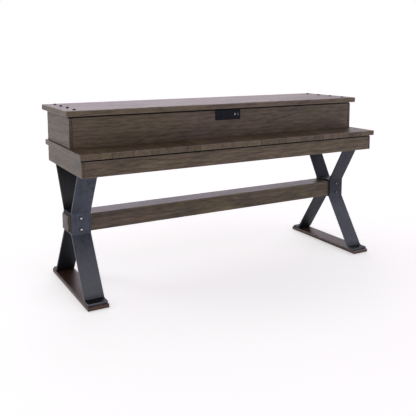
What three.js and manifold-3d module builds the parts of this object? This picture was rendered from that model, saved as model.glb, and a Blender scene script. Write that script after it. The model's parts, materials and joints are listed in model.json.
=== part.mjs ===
// Counter-height console bar table: a long wood table with a raised box along its back edge that
// carries a power outlet, on two steel X frames joined by a wood stretcher beam.
// Millimetres, +Z up. The origin is on the floor under the middle of the table, X runs along its
// length and -Y is the side where people sit.
import * as THREE from 'three';
import { mergeVertices } from 'three/addons/utils/BufferGeometryUtils.js';
import Module from 'manifold-3d';

const wasm = await Module();
wasm.setup();

// --- driving dimensions -------------------------------------------------------------------------
const FIT = 0.3; // clearance between pieces that only rest on or pass through each other
const CUT_PAST = 5; // how far a cutting tool runs past the face that it opens

// Main top and the apron box under it
const MAIN_TOP = { length: 1762, front: -308, back: 286, thick: 27, upper: 732 };
const APRON = { end: 872, front: -288, back: 266, height: 84, thick: 18, endThick: 12 };

// Raised box on the back of the main top, and the board that caps it
const RISER = { end: 872, front: -111, back: 266, panel: 18 };
const RISER_TOP = { length: 1778, front: -137, back: 308, thick: 28, upper: 914 };

// Shadow gap cut into the front of the raised box and of the apron, right under their tops
const SHADOW_GAP = { height: 8, depth: 7 };

// Nail heads in the riser top: a row of four at each end
const NAIL = { headRadius: 8, headHeight: 5.5, shankRadius: 1.6, shankLength: 18, endInset: 55 };
const NAILS_PER_ROW = 4;
const NAIL_EDGE_INSET = 56;

// X frames: a front and a rear bar bent from flat steel, clamped to the stretcher beam
const FRAME_X = 811; // middle of a frame, left and right of the middle of the table
const FRAME_Y = -7; // plane that the front and rear bars mirror in
const BAR = { width: 97, thick: 10, bendRadius: 13, topFlangeTip: 246, footFlangeTip: 288 };
const BAR_TOP_SPREAD = 194;
const BAR_FOOT_SPREAD = 238;
const CLAMP_MIDDLE_Z = 352; // middle height of the upright length that clamps the beam
const CLAMP_HALF_HEIGHT = 53.5;
const CLAMP_BOLT_OFFSET = 28; // each bolt above or below the middle
const FLANGE_BOLT = { foot: 268, top: 226, holeRadius: 4.5 };

// Stretcher beam, its end caps and the plates that close the clamp above and below it
const BEAM = { depth: 109.4, height: 88, past: 5 };
const CAP = { depth: 93, height: 80, thick: 8, chamfer: 3 };
const PLATE_THICK = 8;

// Sled boards that the bars stand on
const SLED = { width: 103, half: 298, thick: 19, chamfer: 2.5 };
const SLED_LIFT = 3; // how far the glides hold the boards off the floor, screwed right in

// Levelling glides: a nylon pad on a threaded stud that screws into a T-nut in the sled board
const GLIDE_OFFSET = 228;
const PAD = { radius: 16, height: 7.5, socketRadius: 6.2, lipRadius: 4.6, socketFloor: 2 };
const STUD = { radius: 4, footRadius: 5.8, footHeight: 4, length: 17.2 };
const TNUT = { radius: 6.4, bore: 4.3, flangeRadius: 12, flangeThick: 1.4, height: 12 };

// Button-head bolts: through the clamps, and through the foot flanges into the sled boards
const BOLT = { radius: 4, headRadius: 6.5, headHeight: 5, threadPast: 9 };
const FOOT_BOLT_DEPTH = 12;

// Power unit in the front of the riser, all measured from its middle
const POWER = { x: 1.5, z: 852 };
const BEZEL = { width: 157, height: 56, thick: 3 };
const WINDOW = { width: 147, height: 40 };
const HOUSING = { width: 151, height: 44, depth: 62, wall: 2 };
const CUT_OUT = { width: 153, height: 46 };
const OUTLET_XS = [-47, -3];
const OUTLET_BLOCK = { from: -73.2, to: 31, depth: 27, face: 3 };
const USB_BLOCK = { from: 31.5, to: 73.2, depth: 26 };
const USB_PORT = { xs: [44.5, 63], width: 5.4, height: 13, depth: 15 };
const BLADE = { offset: 6.35, width: 2.4, heights: [9.4, 8], z: 4 };
const GROUND = { radius: 2.6, z: -8, depth: 16 };
const SHUTTER = { length: 24.5, height: 12, thick: 1.6, travel: 4.5, gap: 0.4 };
const SHUTTER_ROOM = 31;
const CORD_GLAND = { radius: 8, bore: 4.2, length: 10 };

// Ring that lines the cord hole in the back of the riser
const GROMMET = { bore: 25, radius: 28, flangeRadius: 34, flangeThick: 2.5, z: 809 };

// --- levels worked out from them ----------------------------------------------------------------
const MAIN_TOP_UNDER = MAIN_TOP.upper - MAIN_TOP.thick;
const APRON_LOW = MAIN_TOP_UNDER - APRON.height;
const RISER_TOP_UNDER = RISER_TOP.upper - RISER_TOP.thick;
const SLED_UPPER = SLED_LIFT + SLED.thick;
const BEAM_LOW = CLAMP_MIDDLE_Z - BEAM.height / 2;
const BEAM_UPPER = CLAMP_MIDDLE_Z + BEAM.height / 2;
const BEAM_END = FRAME_X + BAR.width / 2 + BEAM.past;
const CLAMP_SPREAD = BEAM.depth / 2 + FIT + BAR.thick / 2;
const FOOT_FLANGE_MIDDLE = SLED_UPPER + FIT + BAR.thick / 2;
const RAIL_LOW = 645; // underside of the rails that the top flanges bolt to
const TOP_FLANGE_MIDDLE = RAIL_LOW - FIT - BAR.thick / 2;

// --- finishes -----------------------------------------------------------------------------------
const finish = (color, roughness, metalness) => ({ color, roughness, metalness });
const OAK = finish(0x5a5046, 0.6, 0);
const STEEL = finish(0x3c3e44, 0.5, 0.6);
const ZINC = finish(0xb4b6ba, 0.35, 0.9);
const BLACK_STEEL = finish(0x242428, 0.45, 0.7);
const BLACK_PLASTIC = finish(0x18191d, 0.45, 0);
const NYLON = finish(0x2c2c2e, 0.6, 0);

// --- solids -------------------------------------------------------------------------------------
// A closed geometry as a manifold solid. Triangles that closed up when the vertices met are dropped.
function toSolid(geometry) {
  const bare = geometry.clone();
  bare.deleteAttribute('normal');
  bare.deleteAttribute('uv');
  const merged = mergeVertices(bare);
  const corners = merged.index.array;
  const kept = [];
  for (let i = 0; i < corners.length; i += 3) {
    const [a, b, c] = corners.subarray(i, i + 3);
    if (a !== b && b !== c && c !== a) kept.push(a, b, c);
  }
  const mesh = new wasm.Mesh({
    numProp: 3,
    vertProperties: merged.attributes.position.array,
    triVerts: new Uint32Array(kept),
  });
  return new wasm.Manifold(mesh);
}

function toGeometry(solid) {
  const mesh = solid.getMesh();
  const geometry = new THREE.BufferGeometry();
  geometry.setAttribute('position', new THREE.BufferAttribute(mesh.vertProperties, 3));
  geometry.setIndex(new THREE.BufferAttribute(mesh.triVerts, 1));
  geometry.computeVertexNormals();
  return geometry;
}

function cut(geometry, tools) {
  return toGeometry(tools.reduce((solid, tool) => solid.subtract(toSolid(tool)), toSolid(geometry)));
}

function join(geometry, others) {
  return toGeometry(others.reduce((solid, other) => solid.add(toSolid(other)), toSolid(geometry)));
}

// A box between two values on each axis.
function boxBetween(x, y, z) {
  const size = [x, y, z].map(([low, high]) => high - low);
  const middle = [x, y, z].map(([low, high]) => (low + high) / 2);
  return new THREE.BoxGeometry(...size).translate(...middle);
}

// A round rod standing on Z from one height to another.
function rod(radius, low, high, sides = 16) {
  const cylinder = new THREE.CylinderGeometry(radius, radius, high - low, sides);
  return cylinder.rotateX(Math.PI / 2).translate(0, 0, (low + high) / 2);
}

// A profile of [radius, height] points turned about Z. It runs up the outside, starting and ending
// on the axis, or closing on itself for a ring.
function turned(profile, sides = 16) {
  const points = profile.map(([radius, height]) => new THREE.Vector2(radius, height));
  return new THREE.LatheGeometry(points, sides).rotateX(Math.PI / 2);
}

// Turns a geometry that stands on Z so that its upper end points to -Y.
const pointForward = (geometry) => geometry.rotateX(Math.PI / 2);

// --- steel bars ---------------------------------------------------------------------------------
// One side of a bent strip: the centreline moved sideways by half its thickness, with an arc about
// the bend centre at each corner.
function stripSide(centreline, side, bendRadius, arcSteps) {
  const points = [];
  const last = centreline.length - 1;
  const heading = (i) => centreline[i + 1].clone().sub(centreline[i]).normalize();
  const sideways = (direction) => new THREE.Vector2(-direction.y, direction.x).multiplyScalar(side);
  points.push(centreline[0].clone().add(sideways(heading(0))));
  for (let i = 1; i < last; i++) {
    const before = heading(i - 1);
    const after = heading(i);
    const turn = Math.atan2(before.cross(after), before.dot(after));
    const reach = bendRadius * Math.tan(Math.abs(turn) / 2);
    const towardsCentre = new THREE.Vector2(-before.y, before.x).multiplyScalar(Math.sign(turn));
    const start = centreline[i].clone().addScaledVector(before, -reach);
    const centre = start.clone().addScaledVector(towardsCentre, bendRadius);
    const spoke = start.add(sideways(before)).sub(centre);
    for (let step = 0; step <= arcSteps; step++) {
      const origin = new THREE.Vector2();
      points.push(spoke.clone().rotateAround(origin, (turn * step) / arcSteps).add(centre));
    }
  }
  points.push(centreline[last].clone().add(sideways(heading(last - 1))));
  return points;
}

// A leg bar seen from the end of the table: an outward flange under the rail, a slope down to the
// upright clamp length, a slope out to the foot and an outward flange on the sled board.
// Its own frame has X across the bar, Y away from the middle of the frame and Z up.
function legBar() {
  const centreline = [
    [BAR.topFlangeTip, TOP_FLANGE_MIDDLE],
    [BAR_TOP_SPREAD, TOP_FLANGE_MIDDLE],
    [CLAMP_SPREAD, CLAMP_MIDDLE_Z + CLAMP_HALF_HEIGHT],
    [CLAMP_SPREAD, CLAMP_MIDDLE_Z - CLAMP_HALF_HEIGHT],
    [BAR_FOOT_SPREAD, FOOT_FLANGE_MIDDLE],
    [BAR.footFlangeTip, FOOT_FLANGE_MIDDLE],
  ].map(([away, height]) => new THREE.Vector2(away, height));
  const arcSteps = 4;
  const outline = [
    ...stripSide(centreline, BAR.thick / 2, BAR.bendRadius, arcSteps),
    ...stripSide(centreline, -BAR.thick / 2, BAR.bendRadius, arcSteps).reverse(),
  ];
  const strip = new THREE.ExtrudeGeometry(new THREE.Shape(outline), {
    depth: BAR.width,
    bevelEnabled: false,
  });
  strip.translate(0, 0, -BAR.width / 2);
  const away = new THREE.Vector3(0, 1, 0);
  const up = new THREE.Vector3(0, 0, 1);
  const across = new THREE.Vector3(1, 0, 0);
  strip.applyMatrix4(new THREE.Matrix4().makeBasis(away, up, across));

  const clampHoles = [-1, 1].map((side) => {
    const hole = pointForward(rod(FLANGE_BOLT.holeRadius, -BAR.thick, BAR.thick));
    return hole.translate(0, CLAMP_SPREAD, CLAMP_MIDDLE_Z + side * CLAMP_BOLT_OFFSET);
  });
  const flangeHoles = [
    [FLANGE_BOLT.foot, FOOT_FLANGE_MIDDLE],
    [FLANGE_BOLT.top, TOP_FLANGE_MIDDLE],
  ].map(([offset, z]) => rod(FLANGE_BOLT.holeRadius, -BAR.thick, BAR.thick).translate(0, offset, z));
  return cut(strip, [...clampHoles, ...flangeHoles]);
}

// --- wood ---------------------------------------------------------------------------------------
// Tool that opens the shadow gap of a top with this underside, along a front that ends at X = +-end.
function shadowGap(end, front, under) {
  return boxBetween(
    [-end - CUT_PAST, end + CUT_PAST],
    [front - CUT_PAST, front + SHADOW_GAP.depth],
    [under - SHADOW_GAP.height, under + CUT_PAST],
  );
}

// Stretcher beam with the four clamp bolt holes through it.
function stretcherBeam() {
  const half = BEAM.depth / 2;
  const beam = boxBetween([-BEAM_END, BEAM_END], [-half, half], [BEAM_LOW, BEAM_UPPER]);
  const holes = [-1, 1].flatMap((end) => [-1, 1].map((side) => {
    const hole = pointForward(rod(FLANGE_BOLT.holeRadius, -half - CUT_PAST, half + CUT_PAST));
    return hole.translate(end * FRAME_X, 0, CLAMP_MIDDLE_Z + side * CLAMP_BOLT_OFFSET);
  }));
  return cut(beam, holes);
}

// A block whose outer face is chamfered all round. It lies on Z = 0 and its chamfer is on top.
function chamferedBlock(width, height, thick, chamfer) {
  const corner = Math.SQRT2;
  const [x, y] = [width / 2, height / 2];
  const straight = boxBetween([-x, x], [-y, y], [0, thick - chamfer]);
  const taper = new THREE.CylinderGeometry(corner, corner, chamfer, 4, 1).rotateY(Math.PI / 4);
  taper.rotateX(Math.PI / 2).translate(0, 0, thick - chamfer / 2);
  const position = taper.attributes.position;
  for (let i = 0; i < position.count; i++) {
    const inset = position.getZ(i) > thick - chamfer / 2 ? chamfer : 0;
    position.setX(i, position.getX(i) * (x - inset));
    position.setY(i, position.getY(i) * (y - inset));
  }
  return join(straight, [taper]);
}

// Sled board of one frame: the upper edges chamfered, a stepped hole for each glide from below and
// a blind hole for each foot bolt from above.
function sledBoard() {
  const { width, half, thick, chamfer } = SLED;
  const board = chamferedBlock(width, 2 * half, thick, chamfer).translate(0, 0, SLED_LIFT);
  const padRoom = [SLED_LIFT - CUT_PAST, PAD.height + FIT + TNUT.flangeThick + FIT];
  const nutRoom = [SLED_LIFT, padRoom[1] + TNUT.height - TNUT.flangeThick];
  const tools = [-1, 1].flatMap((side) => [
    rod(PAD.radius + 2, ...padRoom, 20).translate(0, side * GLIDE_OFFSET, 0),
    rod(TNUT.radius + FIT, ...nutRoom).translate(0, side * GLIDE_OFFSET, 0),
    rod(BOLT.radius + FIT, SLED_UPPER - FOOT_BOLT_DEPTH - FIT, SLED_UPPER + CUT_PAST)
      .translate(0, side * FLANGE_BOLT.foot, 0),
  ]);
  return cut(board, tools);
}

// Riser top with a drilled hole under each nail.
function riserTop(nailSpots) {
  const half = RISER_TOP.length / 2;
  const levels = [RISER_TOP_UNDER, RISER_TOP.upper];
  const board = boxBetween([-half, half], [RISER_TOP.front, RISER_TOP.back], levels);
  const low = RISER_TOP.upper - NAIL.shankLength - FIT;
  const holes = nailSpots.map(([x, y]) => {
    return rod(NAIL.shankRadius + FIT, low, RISER_TOP.upper + CUT_PAST, 8).translate(x, y, 0);
  });
  return cut(board, holes);
}

// --- turned pieces ------------------------------------------------------------------------------
// Domed nail: its head rests on Z = 0 and its shank points down.
function nail() {
  const { headRadius, headHeight, shankRadius, shankLength } = NAIL;
  return turned([
    [0, -shankLength],
    [shankRadius, -shankLength + shankRadius],
    [shankRadius, 0],
    [headRadius, 0],
    [headRadius * 0.8, headHeight * 0.6],
    [headRadius * 0.4, headHeight * 0.92],
    [0, headHeight],
  ], 12);
}

// Button-head bolt: its head rests on Z = 0 and its shank points down.
function bolt(shankLength) {
  const { radius, headRadius, headHeight } = BOLT;
  return turned([
    [0, -shankLength],
    [radius * 0.7, -shankLength],
    [radius, -shankLength + 1],
    [radius, 0],
    [headRadius, 0],
    [headRadius, headHeight * 0.35],
    [headRadius * 0.75, headHeight * 0.85],
    [headRadius * 0.4, headHeight],
    [0, headHeight],
  ]);
}

// Nylon pad: stands on Z = 0, with a socket that holds the foot of the stud under a lip.
function glidePad() {
  const { radius, height, socketRadius, lipRadius, socketFloor } = PAD;
  const lipThick = 0.7;
  const edge = 1.2;
  return turned([
    [0, 0],
    [radius - edge, 0],
    [radius, edge],
    [radius, height - edge],
    [radius - edge, height],
    [lipRadius, height],
    [lipRadius, height - lipThick],
    [socketRadius, height - lipThick],
    [socketRadius, socketFloor],
    [0, socketFloor],
  ], 20);
}

// Threaded stud with the round foot that turns in the pad's socket.
function glideStud() {
  const { radius, footRadius, footHeight, length } = STUD;
  const low = PAD.socketFloor + FIT;
  return turned([
    [0, low],
    [footRadius, low],
    [footRadius, low + footHeight],
    [radius, low + footHeight],
    [radius, low + length - 1],
    [radius - 1, low + length],
    [0, low + length],
  ]);
}

// T-nut: its flange bears up against the step in the sled board's hole.
function glideNut() {
  const low = PAD.height + FIT;
  const { radius, bore, flangeRadius, flangeThick, height } = TNUT;
  return turned([
    [bore, low],
    [flangeRadius, low],
    [flangeRadius, low + flangeThick],
    [radius, low + flangeThick],
    [radius, low + height],
    [bore, low + height],
    [bore, low],
  ]);
}

// Ring that lines the cord hole, with its flange on the outer face of the back panel.
function cordGrommet() {
  const { bore, radius, flangeRadius, flangeThick } = GROMMET;
  const sleeve = RISER.panel;
  const ring = turned([
    [bore, -sleeve],
    [radius - FIT, -sleeve],
    [radius - FIT, FIT],
    [flangeRadius, FIT],
    [flangeRadius, flangeThick],
    [bore + 1, flangeThick],
    [bore, flangeThick - 1],
    [bore, -sleeve],
  ], 24);
  return ring.rotateX(-Math.PI / 2).translate(0, RISER.back, GROMMET.z);
}

// --- power unit: the local frame has its middle at the unit's middle, and Y = 0 on the panel face --
function powerBezel() {
  const { width, height, thick } = BEZEL;
  const face = pointForward(chamferedBlock(width, height, thick - FIT, 1));
  const window = boxBetween(
    [-WINDOW.width / 2, WINDOW.width / 2],
    [-thick - CUT_PAST, CUT_PAST],
    [-WINDOW.height / 2, WINDOW.height / 2],
  );
  return cut(face, [window]).translate(0, -FIT, 0);
}

// Open-fronted box with a gland boss for the cord on its back wall.
function powerHousing() {
  const { width, height, depth, wall } = HOUSING;
  const [x, z] = [width / 2, height / 2];
  const shell = boxBetween([-x, x], [0, depth], [-z, z]);
  const boss = rod(CORD_GLAND.radius, 0, CORD_GLAND.length + wall / 2)
    .rotateX(-Math.PI / 2)
    .translate(0, depth - wall / 2, 0);
  const room = boxBetween([wall - x, x - wall], [-CUT_PAST, depth - wall], [wall - z, z - wall]);
  const bore = rod(CORD_GLAND.bore, -CORD_GLAND.length, CORD_GLAND.length + CUT_PAST)
    .rotateX(-Math.PI / 2)
    .translate(0, depth, 0);
  return cut(join(shell, [boss]), [room, bore]);
}

// Two grounded outlets in one block. Behind each face is a room, open at the back, for its shutter.
function outletBlock() {
  const { from, to, depth, face } = OUTLET_BLOCK;
  const front = -BEZEL.thick + FIT;
  const tall = WINDOW.height / 2 - FIT;
  const block = boxBetween([from, to], [front, front + depth], [-tall, tall]);
  const tools = OUTLET_XS.flatMap((x) => {
    const slots = [-1, 1].map((side, i) => {
      const middle = x + side * BLADE.offset;
      return boxBetween(
        [middle - BLADE.width / 2, middle + BLADE.width / 2],
        [front - CUT_PAST, front + face + 1],
        [BLADE.z - BLADE.heights[i] / 2, BLADE.z + BLADE.heights[i] / 2],
      );
    });
    const left = x - SHUTTER_ROOM / 2;
    const roomHalf = SHUTTER.height / 2 + FIT;
    const room = boxBetween(
      [left, left + SHUTTER_ROOM],
      [front + face, front + depth + CUT_PAST],
      [BLADE.z - roomHalf, BLADE.z + roomHalf],
    );
    const ground = pointForward(rod(GROUND.radius, -GROUND.depth, CUT_PAST))
      .translate(x, front, GROUND.z);
    return [...slots, room, ground];
  });
  return cut(block, tools);
}

// Sliding shutter with two windows that meet the blade slots only when it has moved across.
function outletShutter() {
  const { length, height, thick, travel } = SHUTTER;
  const left = 0.75 - SHUTTER_ROOM / 2;
  const plate = boxBetween([left, left + length], [0, thick], [-height / 2, height / 2]);
  const windows = [-1, 1].map((side) => {
    const middle = side * BLADE.offset - travel;
    const half = (BLADE.width + 1) / 2;
    const tall = BLADE.heights[0] / 2 + 0.4;
    return boxBetween([middle - half, middle + half], [-CUT_PAST, CUT_PAST], [-tall, tall]);
  });
  return cut(plate, windows);
}

function usbBlock() {
  const { from, to, depth } = USB_BLOCK;
  const front = -BEZEL.thick + FIT;
  const tall = WINDOW.height / 2 - FIT;
  const block = boxBetween([from, to], [front, front + depth], [-tall, tall]);
  const ports = USB_PORT.xs.map((x) => boxBetween(
    [x - USB_PORT.width / 2, x + USB_PORT.width / 2],
    [front - CUT_PAST, front + USB_PORT.depth],
    [-USB_PORT.height / 2, USB_PORT.height / 2],
  ));
  return cut(block, ports);
}

// --- assembly -----------------------------------------------------------------------------------
const table = new THREE.Group();

// Adds one named piece at a place, turned about Z if asked.
function add(name, geometry, material, place = [0, 0, 0], turnZ = 0) {
  const mesh = new THREE.Mesh(geometry, new THREE.MeshStandardMaterial(material));
  mesh.name = name;
  mesh.position.set(...place);
  mesh.rotation.z = turnZ;
  table.add(mesh);
}

const ENDS = [['left', -1], ['right', 1]];
const SIDES = [['front', -1], ['rear', 1]];

// Main top and apron
const mainHalf = MAIN_TOP.length / 2;
const mainLevels = [MAIN_TOP_UNDER, MAIN_TOP.upper];
add('main_top', boxBetween([-mainHalf, mainHalf], [MAIN_TOP.front, MAIN_TOP.back], mainLevels), OAK);
const apronLevels = [APRON_LOW, MAIN_TOP_UNDER];
const apronBetween = APRON.end - APRON.endThick;
const apronGap = shadowGap(APRON.end, APRON.front, MAIN_TOP_UNDER);
for (const [name, low] of [['front', APRON.front], ['back', APRON.back - APRON.thick]]) {
  const rail = boxBetween([-apronBetween, apronBetween], [low, low + APRON.thick], apronLevels);
  add(`apron_${name}`, cut(rail, [apronGap]), OAK);
}
for (const [end, sign] of ENDS) {
  const span = [sign * APRON.end, sign * apronBetween].sort((a, b) => a - b);
  const rail = boxBetween(span, [APRON.front, APRON.back], apronLevels);
  add(`apron_${end}`, cut(rail, [apronGap]), OAK);
}

// Raised box: end panels over its whole depth, with the front and back panels between them
const riserLevels = [MAIN_TOP.upper, RISER_TOP_UNDER];
const riserBetween = RISER.end - RISER.panel;
const riserGap = shadowGap(RISER.end, RISER.front, RISER_TOP_UNDER);
for (const [end, sign] of ENDS) {
  const span = [sign * RISER.end, sign * riserBetween].sort((a, b) => a - b);
  const panel = boxBetween(span, [RISER.front, RISER.back], riserLevels);
  add(`riser_${end}_panel`, cut(panel, [riserGap]), OAK);
}
const frontPanel = boxBetween(
  [-riserBetween, riserBetween], [RISER.front, RISER.front + RISER.panel], riserLevels,
);
const unitOpening = boxBetween(
  [POWER.x - CUT_OUT.width / 2, POWER.x + CUT_OUT.width / 2],
  [RISER.front - CUT_PAST, RISER.front + RISER.panel + CUT_PAST],
  [POWER.z - CUT_OUT.height / 2, POWER.z + CUT_OUT.height / 2],
);
add('riser_front_panel', cut(frontPanel, [unitOpening, riserGap]), OAK);
const backPanel = boxBetween(
  [-riserBetween, riserBetween], [RISER.back - RISER.panel, RISER.back], riserLevels,
);
const cordHole = pointForward(rod(GROMMET.radius, -RISER.panel - CUT_PAST, RISER.panel + CUT_PAST, 24));
cordHole.translate(0, RISER.back, GROMMET.z);
add('riser_back_panel', cut(backPanel, [cordHole]), OAK);
add('cord_grommet', cordGrommet(), BLACK_PLASTIC);

// Riser top and its nails
const nailPitch = (RISER_TOP.back - RISER_TOP.front - 2 * NAIL_EDGE_INSET) / (NAILS_PER_ROW - 1);
const nailX = RISER_TOP.length / 2 - NAIL.endInset;
const nailSpots = [];
for (const [end, sign] of ENDS) {
  for (let i = 0; i < NAILS_PER_ROW; i++) {
    const spot = [sign * nailX, RISER_TOP.front + NAIL_EDGE_INSET + i * nailPitch];
    nailSpots.push(spot);
    add(`top_nail_${end}_${i + 1}`, nail(), BLACK_STEEL, [...spot, RISER_TOP.upper + FIT]);
  }
}
add('riser_top', riserTop(nailSpots), OAK);

// Power unit
const unit = [POWER.x, RISER.front, POWER.z];
add('power_bezel', powerBezel(), BLACK_PLASTIC, unit);
add('power_housing', powerHousing(), BLACK_PLASTIC, unit);
add('outlet_block', outletBlock(), BLACK_PLASTIC, unit);
add('usb_block', usbBlock(), BLACK_PLASTIC, unit);
const shutterY = RISER.front - BEZEL.thick + FIT + OUTLET_BLOCK.face + SHUTTER.gap;
for (const [i, [end]] of ENDS.entries()) {
  const place = [POWER.x + OUTLET_XS[i], shutterY, POWER.z + BLADE.z];
  add(`outlet_shutter_${end}`, outletShutter(), NYLON, place);
}

// Stretcher beam and its end caps
add('stretcher_beam', stretcherBeam(), OAK, [0, FRAME_Y, 0]);
for (const [end, sign] of ENDS) {
  const cap = chamferedBlock(CAP.height, CAP.depth, CAP.thick, CAP.chamfer);
  cap.rotateY((sign * Math.PI) / 2);
  const place = [sign * (BEAM_END + FIT), FRAME_Y, CLAMP_MIDDLE_Z];
  add(`stretcher_cap_${end}`, cap, OAK, place);
}

// X frames with their rails, plates, bolts, sled boards and glides
const throughBolt = 2 * CLAMP_SPREAD + BAR.thick + FIT + BOLT.threadPast;
const footBolt = FOOT_BOLT_DEPTH + BAR.thick + 2 * FIT;
for (const [end, sign] of ENDS) {
  const x = sign * FRAME_X;
  const railSpan = [sign * apronBetween, sign * (apronBetween - BAR.width - 1)];
  const rail = boxBetween(
    railSpan.sort((a, b) => a - b),
    [APRON.front + APRON.thick, APRON.back - APRON.thick],
    [RAIL_LOW, MAIN_TOP_UNDER],
  );
  add(`leg_rail_${end}`, rail, OAK);
  add(`sled_board_${end}`, sledBoard(), OAK, [x, FRAME_Y, 0]);

  const plateLows = [['upper', BEAM_UPPER + FIT], ['lower', BEAM_LOW - FIT - PLATE_THICK]];
  for (const [name, low] of plateLows) {
    const half = BEAM.depth / 2;
    const plate = boxBetween(
      [-BAR.width / 2, BAR.width / 2], [-half, half], [low, low + PLATE_THICK],
    );
    add(`clamp_plate_${end}_${name}`, plate, STEEL, [x, FRAME_Y, 0]);
  }

  for (const [level, side] of [['lower', -1], ['upper', 1]]) {
    const place = [
      x,
      FRAME_Y - CLAMP_SPREAD - BAR.thick / 2 - FIT,
      CLAMP_MIDDLE_Z + side * CLAMP_BOLT_OFFSET,
    ];
    add(`clamp_bolt_${end}_${level}`, pointForward(bolt(throughBolt)), ZINC, place);
  }

  for (const [side, towards] of SIDES) {
    const corner = `${end}_${side}`;
    const turnZ = towards < 0 ? Math.PI : 0;
    add(`leg_bar_${corner}`, legBar(), STEEL, [x, FRAME_Y, 0], turnZ);
    const boltZ = SLED_UPPER + 2 * FIT + BAR.thick;
    const boltPlace = [x, FRAME_Y + towards * FLANGE_BOLT.foot, boltZ];
    add(`foot_bolt_${corner}`, bolt(footBolt), BLACK_STEEL, boltPlace);
    const glide = [x, FRAME_Y + towards * GLIDE_OFFSET, 0];
    add(`glide_pad_${corner}`, glidePad(), NYLON, glide);
    add(`glide_stud_${corner}`, glideStud(), ZINC, glide);
    add(`glide_nut_${corner}`, glideNut(), ZINC, glide);
  }
}

export default table;
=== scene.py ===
import json
import math
import random

import bmesh
import bpy
from bpy.props import FloatProperty, FloatVectorProperty, IntProperty, PointerProperty
from mathutils import Matrix, Vector


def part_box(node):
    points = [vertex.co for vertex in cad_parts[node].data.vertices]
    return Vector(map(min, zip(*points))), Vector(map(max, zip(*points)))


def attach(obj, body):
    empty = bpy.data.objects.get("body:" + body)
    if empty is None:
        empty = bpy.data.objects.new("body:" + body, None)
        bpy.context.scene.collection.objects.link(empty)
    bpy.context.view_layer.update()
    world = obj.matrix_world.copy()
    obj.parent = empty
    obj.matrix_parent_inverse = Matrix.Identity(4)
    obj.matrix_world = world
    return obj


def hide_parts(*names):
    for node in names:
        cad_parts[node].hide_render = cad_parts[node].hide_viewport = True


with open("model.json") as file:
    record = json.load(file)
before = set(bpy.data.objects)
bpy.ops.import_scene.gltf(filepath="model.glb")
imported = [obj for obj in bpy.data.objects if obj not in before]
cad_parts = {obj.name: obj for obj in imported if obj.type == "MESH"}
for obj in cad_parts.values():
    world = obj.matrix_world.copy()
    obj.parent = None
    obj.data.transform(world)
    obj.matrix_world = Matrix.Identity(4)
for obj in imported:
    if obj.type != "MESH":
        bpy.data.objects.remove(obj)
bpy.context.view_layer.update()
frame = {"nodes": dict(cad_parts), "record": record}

bl_info = {
    "name": "Console Bar Table",
    "version": (1, 0, 0),
    "blender": (4, 5, 0),
    "location": "View3D > Sidebar > Bar Table",
    "description": "Finished pieces of a console bar table around its fixed frame",
    "category": "Add Mesh",
}

MM = 0.001
TABLE = "table"
ENDS = (("left", -1), ("right", 1))
SIDES = (("front", -1), ("rear", 1))
MERGE_DISTANCE = 1e-6
FLAT_ANGLE = math.radians(1.0)
ARRIS_ANGLE = math.radians(32)
SHARP_ANGLE = math.radians(50)
ROUND_SIDES = 24
HEX_SIDES = 6
PLAIN = 0.5  # board number of a piece whose finish doesn't depend on it
GAP_HEIGHT = 9.3 * MM  # from the top of a panel to just under the lip of its shadow gap
GAP_SHADE = -1.0  # number of a face painted in black shade, in the shadow gap and along the top of a panel
JOINT_STAIN = -0.6  # wear of a face in a joint between boards
RUBBED = 1.0  # number of a rounded edge, given a lighter colour that is partly real wear and partly a painted highlight
SLANT = 0.3  # least part of a normal that counts as turned to an axis
MIDDLE = 100 * MM  # a panel whose middle is nearer than this to x = 0 has a joint at each end
HOLED_FACES = ("usb_block",)  # nodes with two or more holes in one flat face


# --- sizes and colours ---------------------------------------------------------------------------
def length(name, description, millimetres):
    return FloatProperty(name=name, description=description, default=millimetres * MM, min=0.0,
                         unit="LENGTH", subtype="DISTANCE")


def colour(name, description, value):
    return FloatVectorProperty(name=name, description=description, default=value, size=3,
                               min=0.0, max=1.0, subtype="COLOR")


def share(name, description, value, top=1.0):
    return FloatProperty(name=name, description=description, default=value, min=0.0, max=top,
                         subtype="FACTOR")


class TimberSettings(bpy.types.PropertyGroup):
    """Boards and their stain."""

    top_arris: length("Top arris", "Rounding of the edges of the two tops", 3.0)
    panel_arris: length("Panel arris", "Rounding of the edges of rails and panels", 1.8)
    beam_arris: length("Beam arris", "Rounding of the edges of the beam and its caps", 2.2)
    joint: length("Joint", "Gap between boards laid side by side", 0.3)
    dark: colour("Dark stain", "Stain where the grain took most of it", (0.024, 0.0155, 0.0085))
    middle: colour("Stain", "Stain over most of a board", (0.083, 0.0600, 0.0335))
    light: colour("Light stain", "Stain on hard, smooth grain", (0.150, 0.117, 0.082))
    # Colour of rounded edges: partly worn wood, partly a painted highlight.
    worn: colour("Worn", "Wood that shows through on rubbed edges", (0.300, 0.245, 0.250))
    # The pore colour below is also the black of the painted shade in the shadow gaps and under the
    # tops.
    pore: colour("Pore", "Bottom of a brushed pore", (0.008, 0.005, 0.003))
    olive: colour("Olive cast", "Tint that drifts across the boards", (1.0, 0.975, 0.78))
    plum: colour("Plum cast", "The other end of that drift", (1.0, 0.89, 0.95))
    russet: colour("Russet cast", "Tint of the boards from the redder log", (0.84, 0.58, 0.72))
    gloss: share("Roughness", "Roughness of the lacquer", 0.42)
    relief: length("Relief", "Depth of the brushed grain", 0.42)


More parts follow.
